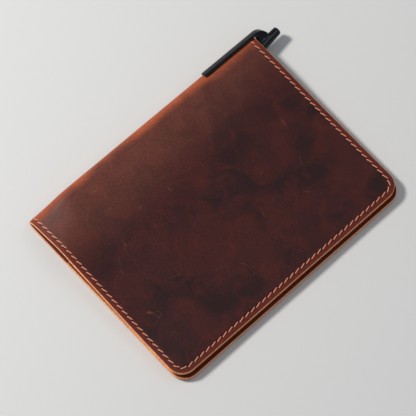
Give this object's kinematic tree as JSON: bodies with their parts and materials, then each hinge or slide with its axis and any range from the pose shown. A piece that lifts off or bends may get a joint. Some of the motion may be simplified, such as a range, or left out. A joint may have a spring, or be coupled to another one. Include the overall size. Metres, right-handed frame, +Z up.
{
  "type": "leather notebook cover with pen",
  "caption": "Folded leather slip-on cover for a pocket notebook, with sewn-in pockets and a capped pen clipped at its spine.",
  "frame": {"origin": "centre of the back cover's flat resting face", "axes": "+X from the spine to the fore edge, +Y along the spine towards the end where the pen stands out, +Z up from the back cover to the front cover"},
  "size_m": [0.122, 0.1772, 0.0139],
  "materials": {
    "outer_leather": "waxed pull-up leather, satin",
    "pocket_leather": "natural suede side out",
    "thread": "waxed thread",
    "black_gloss": "glossy",
    "clear_tube": "translucent",
    "ink": "wet",
    "brass": "bright",
    "steel": "polished"
  },
  "bodies": {
    "back_cover": {"back_leather": "outer_leather", "back_pocket": "pocket_leather", "back_thread_outside": "thread", "back_thread_inside": "thread"},
    "spine": {"spine_leather": "outer_leather", "spine_thread": "thread"},
    "shoulder": {"shoulder_leather": "outer_leather", "shoulder_thread": "thread"},
    "front_cover": {"front_leather": "outer_leather", "front_pocket": "pocket_leather", "front_thread_outside": "thread", "front_thread_inside": "thread"},
    "pen_cap": {"pen_cap": "black_gloss"},
    "pen_barrel": {"pen_barrel": "black_gloss", "pen_end_plug": "black_gloss", "pen_tip_holder": "black_gloss", "pen_tip": "brass", "pen_ball": "steel", "pen_ink_tube": "clear_tube", "pen_ink": "ink"}
  },
  "joints": [
    {"name": "back_fold", "type": "hinge", "parent": "back_cover", "child": "spine", "pos_m": [-0.05878, 0, 0.00145], "axis": [0, -1, 0], "range_deg": [0, 78.76]},
    {"name": "spine_fold", "type": "hinge", "parent": "spine", "child": "shoulder", "pos_m": [-0.06055, 0, 0.00852], "axis": [0, -1, 0], "range_deg": [0, 71.28]},
    {"name": "front_fold", "type": "hinge", "parent": "shoulder", "child": "front_cover", "pos_m": [-0.05588, 0, 0.01231], "axis": [0, -1, 0], "range_deg": [0, 32.81]},
    {"name": "pen_slide", "type": "slide", "parent": "shoulder", "child": "pen_cap", "axis": [-0.1028, 0.9947, 0], "range_m": [0, 0.14]},
    {"name": "barrel_pull", "type": "slide", "parent": "pen_cap", "child": "pen_barrel", "axis": [0.1028, -0.9947, 0], "range_m": [0, 0.05]}
  ],
  "couplings": [
    {"joint": "spine_fold", "follows": "back_fold", "ratio": 0.90502},
    {"joint": "front_fold", "follows": "back_fold", "ratio": 0.41658}
  ]
}
